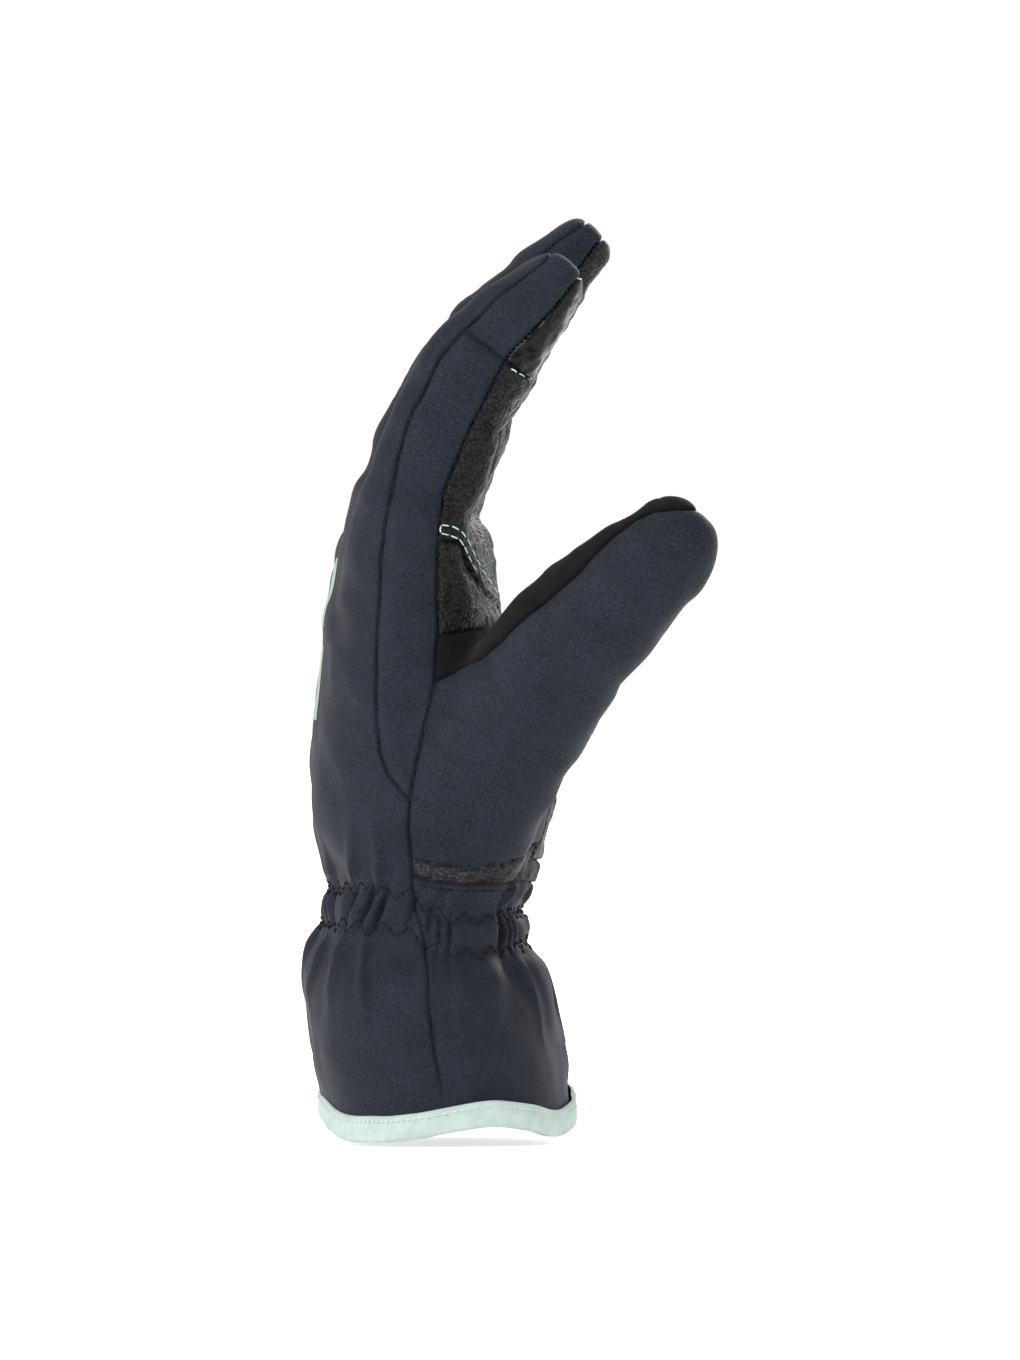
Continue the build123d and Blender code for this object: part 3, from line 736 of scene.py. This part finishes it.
def lie_of_fabric(p, panel_here, seam_gap):
    """Displacement along the surface's normal, in millimetres."""
    leather = np.isin(panel_here, (PALM, STRIP, PATCH, PAD))
    push = 0.1 - 1.0 * np.exp(-((seam_gap / 0.42) ** 2)) - 0.55 * np.exp(-seam_gap / 2.5)
    push += soft_folds(p) + 0.16 * lattice_noise(p, 8.0, 7)
    wrinkles = 0.5 * np.abs(lattice_noise(p, 4.5, 8)) + 0.3 * lattice_noise(p, 2.2, 19)
    stretch = p * np.array([1.0, 1.0, 0.45])
    push += np.where(leather, wrinkles - 0.15, 0.1 * lattice_noise(stretch, 5.0, 9))
    near_wrist = (p[:, 2] > 25) & (p[:, 2] < 105)
    push[near_wrist] += gathers(p[near_wrist])
    proud = in_crotch(p) & (p[:, 2] > 139) & (p[:, 2] < 166) & (past_palm(p) > 0)
    over = over_overlay(p)
    push += np.where(proud, 0.6 * smoothstep(over, -0.2, 0.5) * np.exp(-np.clip(over, 0, 9) / 3), 0)
    s, n = locate(LINES["index"], p[:, 0], p[:, 2])
    crease = (lane_of(p) == 0) & (p[:, 2] > 170)
    folds = (np.exp(-((s - INDEX_CREASES[0]) / 1.8) ** 2)
             + 0.8 * np.exp(-((s - INDEX_CREASES[1]) / 2.0) ** 2))
    push -= np.where(crease, 1.0 * folds * smoothstep(n, 3, 12), 0)
    clear = smoothstep(p[:, 2] - hem_height(p[:, 0], p[:, 1]), 6.0, 18.0)
    return push * clear - 0.7 * (1 - clear)


# ---- Blender objects ----
def shown(thing):
    bpy.context.scene.collection.objects.link(thing)
    return thing


def mesh_object(name, points, faces, normals=None):
    """A smooth mesh object from points in millimetres and rows of equal faces."""
    faces = np.asarray(faces, np.int32)
    mesh = bpy.data.meshes.new(name)
    mesh.vertices.add(len(points))
    mesh.vertices.foreach_set("co", (np.asarray(points) * MM).astype(np.float32).ravel())
    mesh.loops.add(faces.size)
    mesh.loops.foreach_set("vertex_index", faces.ravel())
    mesh.polygons.add(len(faces))
    mesh.polygons.foreach_set("loop_start", np.arange(len(faces), dtype=np.int32) * faces.shape[1])
    mesh.polygons.foreach_set("use_smooth", np.ones(len(faces), bool))
    mesh.update(calc_edges=True)
    mesh.validate()
    if normals is not None:
        mesh.normals_split_custom_set_from_vertices([Vector(n) for n in normals])
    thing = bpy.data.objects.new(name, mesh)
    return shown(thing)


def quads_between(rows, count, closed=True, first=0):
    """Quads between rows of this many points, which are numbered from the first one on."""
    faces = []
    for r in range(rows - 1):
        here = first + r * count
        for k in range(count if closed else count - 1):
            a, b = here + k, here + (k + 1) % count
            faces.append((a, b, b + count, a + count))
    return faces


# ---- materials ----
class Nodes:
    """Small helper that wires one material's nodes."""

    def __init__(self, name):
        self.material = bpy.data.materials.new(name)
        self.material.use_nodes = True
        self.tree = self.material.node_tree
        self.shader = self.tree.nodes["Principled BSDF"]
        place = self.tree.nodes.new("ShaderNodeTexCoord")
        self.place = place.outputs["Object"]

    def add(self, kind, **inputs):
        node = self.tree.nodes.new(kind)
        for key, value in inputs.items():
            self.put(node.inputs[key.replace("_", " ")], value)
        return node

    def put(self, socket, value):
        if isinstance(value, bpy.types.NodeSocket):
            self.tree.links.new(value, socket)
        else:
            socket.default_value = value

    def texture(self, kind, size, output, **inputs):
        """A texture with features of this size in millimetres."""
        node = self.add(kind, Vector=self.place, Scale=1 / (size * MM), **inputs)
        return node.outputs[output]

    def noise(self, size, detail=2.0):
        return self.texture("ShaderNodeTexNoise", size, "Fac", Detail=detail)

    def cells(self, size):
        return self.texture("ShaderNodeTexVoronoi", size, "Distance")

    def wave(self, size, **inputs):
        return self.texture("ShaderNodeTexWave", size, "Fac", **inputs)

    def maths(self, operation, a, b):
        node = self.tree.nodes.new("ShaderNodeMath")
        node.operation = operation
        self.put(node.inputs[0], a)
        self.put(node.inputs[1], b)
        return node.outputs[0]

    def between(self, value, low, high, at=(0.3, 0.7)):
        """Colours or levels from low to high as the value goes across a range."""
        ramp = self.add("ShaderNodeValToRGB", Fac=value)
        for stop, place, level in zip(ramp.color_ramp.elements, at, (low, high)):
            stop.position = place
            stop.color = (*level, 1.0) if isinstance(level, tuple) else (level,) * 3 + (1.0,)
        return ramp.outputs["Color"]

    def bump(self, height, strength, depth):
        node = self.add("ShaderNodeBump", Height=height, Strength=strength, Distance=depth * MM)
        return node.outputs["Normal"]

    def finish(self, colour, rough, normal, **fixed):
        self.put(self.shader.inputs["Base Color"], colour)
        self.put(self.shader.inputs["Roughness"], rough)
        self.put(self.shader.inputs["Normal"], normal)
        for key, value in fixed.items():
            self.shader.inputs[key.replace("_", " ")].default_value = value
        return self.material


def softshell():
    n = Nodes("softshell")
    weave = n.wave(1.3, Distortion=1.5, Detail=1.0)
    weave.node.bands_direction = "DIAGONAL"
    grain = n.noise(0.55, 2.0)
    mottle = n.noise(11.0, 3.0)
    height = n.maths("ADD", n.maths("MULTIPLY", weave, 0.35), grain)
    mixed = n.maths("ADD", n.maths("MULTIPLY", mottle, 0.3), n.maths("MULTIPLY", grain, 0.7))
    colour = n.between(mixed, (0.003, 0.004, 0.0083), (0.0108, 0.013, 0.0212), (0.4, 0.6))
    return n.finish(colour, n.between(mottle, 0.55, 0.68), n.bump(height, 0.9, 0.25),
                    Sheen_Weight=0.02, Sheen_Roughness=0.5, Specular_IOR_Level=0.12)


def leather(name, dark, light, gloss, depth, cell):
    n = Nodes(name)
    pebbles = n.maths("SUBTRACT", 1.0, n.cells(cell))
    fine = n.noise(0.35, 3.0)
    mottle = n.noise(7.0, 3.0)
    height = n.maths("ADD", pebbles, n.maths("MULTIPLY", fine, 0.35))
    colour = n.between(n.maths("ADD", pebbles, n.maths("MULTIPLY", mottle, 0.3)),
                       dark, light, (0.55, 0.98))
    rough = n.between(mottle, gloss, gloss + 0.14)
    return n.finish(colour, rough, n.bump(height, 1.0, depth), Specular_IOR_Level=0.12)


def plain_cloth(name, dark, light, rough, weave, depth):
    n = Nodes(name)
    grain = n.noise(0.5, 3.0)
    height = n.maths("ADD", n.maths("MULTIPLY", n.wave(weave, Distortion=0.8), 0.6), grain)
    return n.finish(n.between(n.noise(3.0, 4.0), dark, light),
                    n.between(grain, rough, rough + 0.1), n.bump(height, 0.5, depth),
                    Sheen_Weight=0.02, Sheen_Roughness=0.6, Specular_IOR_Level=0.1)


MATERIALS = {
    "softshell": softshell(),
    "leather": leather("pebbled_leather", (0.0015, 0.0015, 0.0018), (0.012, 0.012, 0.0135),
                       0.36, 0.5, 1.0),
    "strip": leather("heel_leather", (0.008, 0.008, 0.01), (0.028, 0.028, 0.033), 0.5, 0.3, 1.0),
    "touch": leather("touch_leather", (0.0015, 0.0015, 0.002), (0.005, 0.005, 0.006),
                     0.21, 0.14, 1.5),
    "gusset": plain_cloth("gusset_cloth", (0.001, 0.0011, 0.0016), (0.0028, 0.003, 0.0038),
                          0.85, 0.8, 0.1),
    "fleece": plain_cloth("fleece", (0.01, 0.01, 0.012), (0.022, 0.022, 0.025), 0.92, 2.2, 0.5),
    "tape": plain_cloth("binding_tape", (0.28, 0.345, 0.315), (0.34, 0.405, 0.375),
                        0.75, 0.7, 0.12),
    "print": plain_cloth("soft_print", (0.17, 0.24, 0.19), (0.22, 0.3, 0.24), 0.6, 0.9, 0.06),
    "mint_thread": plain_cloth("mint_thread", (0.38, 0.49, 0.42), (0.47, 0.58, 0.51),
                               0.6, 0.3, 0.05),
    "dark_thread": plain_cloth("dark_thread", (0.0015, 0.0015, 0.002), (0.004, 0.004, 0.005),
                               0.7, 0.3, 0.05),
}
PANEL_LOOKS = {BACK: "softshell", SIDE: "softshell", PALM: "leather", FRONT: "softshell",
               STRIP: "strip", PATCH: "leather", GUSSET: "gusset", OUTER: "softshell",
               PAD: "touch", PAD_SIDE: "softshell"}


# ---- the glove's outside in pieces ----
def place_on(line, s):
    """Point at a place along a line of XZ points, in metres."""
    left = s
    for a, b in zip(line, line[1:]):
        length = math.dist(a, b)
        if left <= length:
            break
        left -= length
    t = left / length
    return ((a[0] + (b[0] - a[0]) * t) * MM, 0.0, (a[1] + (b[1] - a[1]) * t) * MM)


def follow(thing, zone):
    """Makes a piece of the cuff or hand ride on its body, and leaves a piece of any other zone
    fixed where it is.
    """
    if zone == "cuff":
        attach(thing, "cuff")
    elif zone == "wrist":
        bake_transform(thing)
    elif zone == "hand":
        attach(thing, "hand")
    elif zone == "thumb_base":
        at = THUMB_HINGE[0]
        place_on(THUMB_LINE, at - 6)
        place_on(THUMB_LINE, at + 8)
        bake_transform(thing)
    elif zone == "thumb_tip":
        at = THUMB_HINGE[1]
        place_on(THUMB_LINE, at - 8)
        place_on(THUMB_LINE, at + 8)
        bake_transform(thing)
    else:
        name, part = zone.rsplit("_", 1)
        share = size_of(name)
        a, b = BASE_BEND if part == "base" else TIP_BEND
        place_on(LINES[name], a * share)
        place_on(LINES[name], b * share)
        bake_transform(thing)


def build_shell():
    """The whole outside as points, quads, normals, and each quad's panel and zone."""
    points, quads = first_mesh()
    rows = padded_rows(quads.tolist())
    for measure, where_of in SEAMS:
        points, rows = cut(points, rows, measure, where_of)
    middles = points[rows].mean(1)
    rows = rows[over_hem(middles) > 0]
    points, quads, source = quads_of(points, rows)
    points = settle(points, 1)
    middles = points[quads].mean(1)
    panel, zone = panel_of(middles), zone_of(middles)
    gap = from_seam(points, quads, panel)
    here = np.zeros(len(points), int)
    for k in range(4):
        here[quads[:, k]] = panel
    points = points + normals_of(points, quads) * lie_of_fabric(points, here, gap)[:, None]
    return points, quads, normals_of(points, quads), panel, zone


def add_piece(name, points, faces, look, zone, normals=None):
    thing = mesh_object(name, points, faces, normals)
    thing.data.materials.append(MATERIALS[look])
    follow(thing, zone)


POINTS, QUADS, NORMALS, PANEL, ZONE = build_shell()
for z, zone in enumerate(ZONES):
    for p, panel in enumerate(PANELS):
        chosen = QUADS[(ZONE == z) & (PANEL == p)]
        if len(chosen) < 12:
            continue
        used, inverse = np.unique(chosen, return_inverse=True)
        add_piece(f"{zone}_{panel}_skin", POINTS[used], inverse.reshape(-1, 4),
                  PANEL_LOOKS[p], zone, NORMALS[used])

TREE = BVHTree.FromPolygons(POINTS.tolist(), QUADS.tolist())


def hit(origin, direction):
    """Where a ray meets the outside, and the surface's normal there."""
    place, normal, _, _ = TREE.ray_cast(Vector(origin), Vector(direction))
    return place, normal


# ---- hem binding and lining ----
def hem_ring(count):
    """Points of the wall's outside round the hem, and its outward directions in XY."""
    angle = np.linspace(0, 2 * math.pi, count, endpoint=False)
    centre, depth, width = body_section(np.full(count, 3.0))

    def bent(value):
        return np.copysign(np.abs(value) ** (2 / BODY_POWER), value)

    x, y = centre + depth * bent(np.cos(angle)), width * bent(np.sin(angle))
    out = np.stack([np.roll(y, -1) - np.roll(y, 1), np.roll(x, 1) - np.roll(x, -1)], 1)
    return x, y, out / np.linalg.norm(out, axis=1)[:, None]


def make_binding():
    count = 420
    x, y, out = hem_ring(count)
    low = hem_height(x, y)
    places = np.stack([x, y, low], 1)
    sway = 0.2 * lattice_noise(places, 6.0, 11) + 0.25 * lattice_noise(places, 17.0, 12)
    rings = []
    for away, up in BIND_SECTION:
        r = away + sway
        crinkle = 0.08 * lattice_noise(places + up, 2.2, 13)
        rings.append(np.stack([x + out[:, 0] * (r + crinkle), y + out[:, 1] * (r + crinkle),
                               low + up + 0.5 * sway * (up > 3)], 1))
    faces = quads_between(len(rings), count)
    add_piece("hem_tape", np.vstack(rings), faces, "tape", "cuff")


def make_lining(name, heights, zone, closed):
    count = 160
    angle = np.linspace(0, 2 * math.pi, count, endpoint=False)
    rings = []
    for height in heights:
        centre, depth, width = body_section(np.full(count, height))
        cos, sin = np.cos(angle), np.sin(angle)
        x = centre + (depth - LINING_INSET) * np.copysign(np.abs(cos) ** 0.8, cos)
        y = (width - LINING_INSET) * np.copysign(np.abs(sin) ** 0.8, sin)
        z = np.full(count, height)
        if height < 12:
            z = hem_height(x, y) + height
        wave = 0.5 * lattice_noise(np.stack([x, y, z], 1), 12.0, 14)
        rings.append(np.stack([x * (1 + wave / 60), y * (1 + wave / 60), z], 1))
    if closed:
        middle = rings[-1].mean(0)
        rings += [middle + (rings[-1] - middle) * share for share in (0.66, 0.33, 0.02)]
    faces = quads_between(len(rings), count)
    add_piece(name, np.vstack(rings), [face[::-1] for face in faces], "fleece", zone)


make_binding()
make_lining("lining_cuff", [2, 6, 11.9, 18, 26, 34, 42, 46], "cuff", False)
make_lining("lining_wrist", [46, 50, 54, 58, 62, 66, 70, 76, 84, 92, 100], "wrist", True)


# ---- threads and print ----
# Along one stitch: place over its length, thickness and lift over the thread's radius.
STITCH = ((-0.04, 0.25, -0.6), (0.06, 0.8, 0.1), (0.3, 1.0, 0.75),
          (0.7, 1.0, 0.75), (0.94, 0.8, 0.1), (1.04, 0.25, -0.6))


def stitches(name, runs, radius, look, zone):
    """Short raised threads between pairs of points on the surface, as one piece."""
    points, faces = [], []
    around = 6
    for (a, na), (b, nb) in runs:
        a, b, up = Vector(a), Vector(b), (Vector(na) + Vector(nb)).normalized()
        aside = (b - a).normalized().cross(up)
        faces += quads_between(len(STITCH), around, first=len(points))
        for t, size, lift in STITCH:
            middle = a.lerp(b, t) + up * (lift * radius)
            for k in range(around):
                turn = 2 * math.pi * k / around
                away = aside * math.cos(turn) + up * math.sin(turn)
                points.append(middle + away * radius * size)
    add_piece(name, [tuple(p) for p in points], faces, look, zone)


def walk(line, spacing):
    """Points at even spacing along a line of XZ points."""
    total = sum(math.dist(a, b) for a, b in zip(line, line[1:]))
    count = max(1, round(total / spacing))
    out = []
    for k in range(count + 1):
        x, _, z = place_on(line, min(k * total / count, total - 1e-6))
        out.append((x / MM, z / MM))
    return out


def dashes(line, pitch, length):
    """Stitches laid on the thumb side along a line of XZ points."""
    runs, places = [], walk(line, pitch)
    for (x0, z0), (x1, z1) in zip(places, places[1:]):
        t = length / max(math.dist((x0, z0), (x1, z1)), 1e-6)
        a = hit((x0, -200, z0), (0, 1, 0))
        b = hit((x0 + (x1 - x0) * t, -200, z0 + (z1 - z0) * t), (0, 1, 0))
        if a[0] and b[0] and abs(a[0].y - b[0].y) < 8:
            runs.append((a, b))
    return runs


crotch_runs = dashes([(-1.2, 163.4), (2.5, 163.0), (4.8, 161.2), (6.6, 157.6), (8.6, 152.8),
                      (11.6, 148.4), (14.0, 144.8)], 2.7, 2.0)
crotch_runs += dashes([(-1.2, 161.2), (3.1, 160.2), (4.6, 158.4), (5.9, 155.2), (8.1, 150.8)],
                      2.7, 2.0)
crotch_runs += dashes([(-1.5, 161.4), (-1.4, 163.3)], 1.9, 1.8)
stitches("crotch_topstitch", crotch_runs, 0.21, "mint_thread", "hand")
pad_runs = dashes([(17.2, 204.8), (19.2, 203.6), (21.4, 202.2)], 2.2, 1.7)
stitches("pad_topstitch", pad_runs, 0.24, "mint_thread", "index_tip")
strip_line = [(x, z - 1.6) for x, z in STRIP_LOW[:-1]] + [(20.5, 66.6)]
stitches("heel_topstitch", dashes(strip_line, 2.3, 1.7), 0.2, "dark_thread", "wrist")


def zigzag(row, seed):
    """Zigzag stitching of the elastic round the whole wrist, three stitches to a leg."""
    legs = 64
    rng = np.random.default_rng(SEED + seed)
    angles = [2 * math.pi * k / legs for k in range(legs)]
    heights = [broken(row, -6 + 26 * math.cos(angle)) + (1.9 if k % 2 else -1.9)
               + float(rng.uniform(-0.5, 0.5)) for k, angle in enumerate(angles)]
    runs = []
    for k in range(legs):
        after = (k + 1) % legs
        swing = 2 * math.pi / legs
        for share in (0.03, 0.36, 0.69):
            ends = []
            for t in (share, share + 0.26):
                angle = angles[k] + swing * t
                height = heights[k] + (heights[after] - heights[k]) * t
                away = (math.cos(angle), math.sin(angle), 0.0)
                ends.append(hit((-6 + 90 * away[0], 90 * away[1], height), (-away[0], -away[1], 0)))
            if ends[0][0] and ends[1][0] and (ends[0][0] - ends[1][0]).length < 2.6:
                runs.append(tuple(ends))
    return runs


stitches("elastic_zigzag_low", zigzag(ROW_LOW, 21), 0.2, "dark_thread", "wrist")
stitches("elastic_zigzag_high", zigzag(ROW_HIGH, 22), 0.2, "dark_thread", "wrist")


def hem_stitches():
    """Fine stitching along the top of the binding."""
    x, y, out = hem_ring(300)
    low = hem_height(x, y)
    ends = [((x[i] + out[i, 0] * 1.05, y[i] + out[i, 1] * 1.05, low[i] + 5.6),
             (out[i, 0], out[i, 1], 0.0)) for i in range(len(x))]
    return list(zip(ends[::2], ends[1::2]))


stitches("hem_topstitch", hem_stitches(), 0.16, "mint_thread", "cuff")


def make_print():
    """Bars of soft print that lie on the back of the hand."""
    points, faces = [], []
    wide, tall = 14, 26
    for low, high in PRINT_ROWS:
        faces += quads_between(tall, wide, False, len(points))
        for z in np.linspace(low, high, tall):
            for y in np.linspace(*PRINT_Y, wide):
                place, normal = hit((-120, y, z), (1, 0, 0))
                points.append(tuple(place + normal * 0.14))
    add_piece("back_print", points, [face[::-1] for face in faces], "print", "hand")


make_print()


# ---- which CAD nodes the pieces stand for ----
STANDS_FOR = {
    "cuff_back": ["cuff_back_panel"], "cuff_front": ["cuff_palm_panel"],
    "lining_cuff": ["cuff_lining"], "hem_tape": ["hem_binding"],
    "hand_back": ["back_panel", "back_liner"],
    "hand_palm": ["palm_panel", "palm_liner"],
    "hand_side": ["index_side_panel", "little_side_panel", "side_liners"],
    "hand_outer": ["thumb_panel", "thumb_root_liner"],
    "hand_gusset": ["thumb_gusset"], "hand_crotch_patch": ["crotch_patch"],
    "wrist_heel_strip": ["heel_strip"],
    "wrist_front": ["wrist_panel", "wrist_elastic"],
    "back_print": ["back_stripe"], "index_tip_pad": ["index_touch_pad"],
}
for name in FINGERS:
    for part in ("base", "tip"):
        root = f"{name}_{part}"
        STANDS_FOR[f"{root}_back"] = [f"{root}_back", f"{root}_liner"]
        STANDS_FOR[f"{root}_side"] = [f"{root}_sides"]
        STANDS_FOR[f"{root}_palm"] = [f"{root}_palm"]
for root in ("thumb_base", "thumb_tip"):
    STANDS_FOR[f"{root}_outer"] = [f"{root}_outer", f"{root}_liner"]
    STANDS_FOR[f"{root}_palm"] = [f"{root}_leather"]
    STANDS_FOR[f"{root}_gusset"] = [f"{root}_strip"]
for name, nodes in STANDS_FOR.items():
    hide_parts(*nodes)


# ---- floor, light and camera ----
FLOOR_Z = -0.0012                      # just clear of the hem, in metres


def make_floor():
    size = 30.0
    mesh = bpy.data.meshes.new("floor")
    mesh.from_pydata([(-size, -size, 0), (size, -size, 0), (size, size, 0), (-size, size, 0)],
                     [], [(0, 1, 2, 3)])
    floor = shown(bpy.data.objects.new("floor", mesh))
    floor.location.z = FLOOR_Z
    pale = bpy.data.materials.new("pale_floor")
    pale.use_nodes = True
    shader = pale.node_tree.nodes["Principled BSDF"]
    shader.inputs["Base Color"].default_value = (0.9, 0.9, 0.9, 1.0)
    shader.inputs["Roughness"].default_value = 0.9
    shader.inputs["Emission Color"].default_value = (1.0, 1.0, 1.0, 1.0)
    shader.inputs["Emission Strength"].default_value = 0.7
    floor.data.materials.append(pale)


def area_light(name, place, target, size, power):
    data = bpy.data.lights.new(name, "AREA")
    data.shape = "RECTANGLE"
    data.size, data.size_y = size
    data.energy = power
    lamp = shown(bpy.data.objects.new(name, data))
    lamp.location = place
    lamp.rotation_euler = (Vector(target) - Vector(place)).to_track_quat("-Z", "Y").to_euler()


def make_stage():
    world = bpy.data.worlds.new("studio")
    world.use_nodes = True
    world.node_tree.nodes["Background"].inputs["Color"].default_value = (1, 1, 1, 1)
    world.node_tree.nodes["Background"].inputs["Strength"].default_value = 1.02
    bpy.context.scene.world = world
    bpy.context.scene.view_settings.view_transform = "Standard"
    make_floor()
    area_light("key", (-1.2, -1.2, 0.9), (0, 0, 0.12), (0.7, 0.9), 34.0)
    area_light("fill", (1.3, -1.2, 0.4), (0, 0, 0.12), (0.8, 1.2), 8.0)
    area_light("rim", (0.6, 1.3, 1.0), (0, 0, 0.14), (0.6, 1.0), 16.0)


def make_camera():
    data = bpy.data.cameras.new("camera")
    data.sensor_width = 36.0
    distance, tall = 4.0, 0.3642
    data.lens = data.sensor_width * distance / tall
    data.clip_start, data.clip_end = 0.1, 100.0
    camera = shown(bpy.data.objects.new("camera", data))
    camera.location = (0.0169, -distance, 0.1224)
    camera.rotation_euler = (math.pi / 2, 0, 0)
    bpy.context.scene.camera = camera


make_stage()
make_camera()
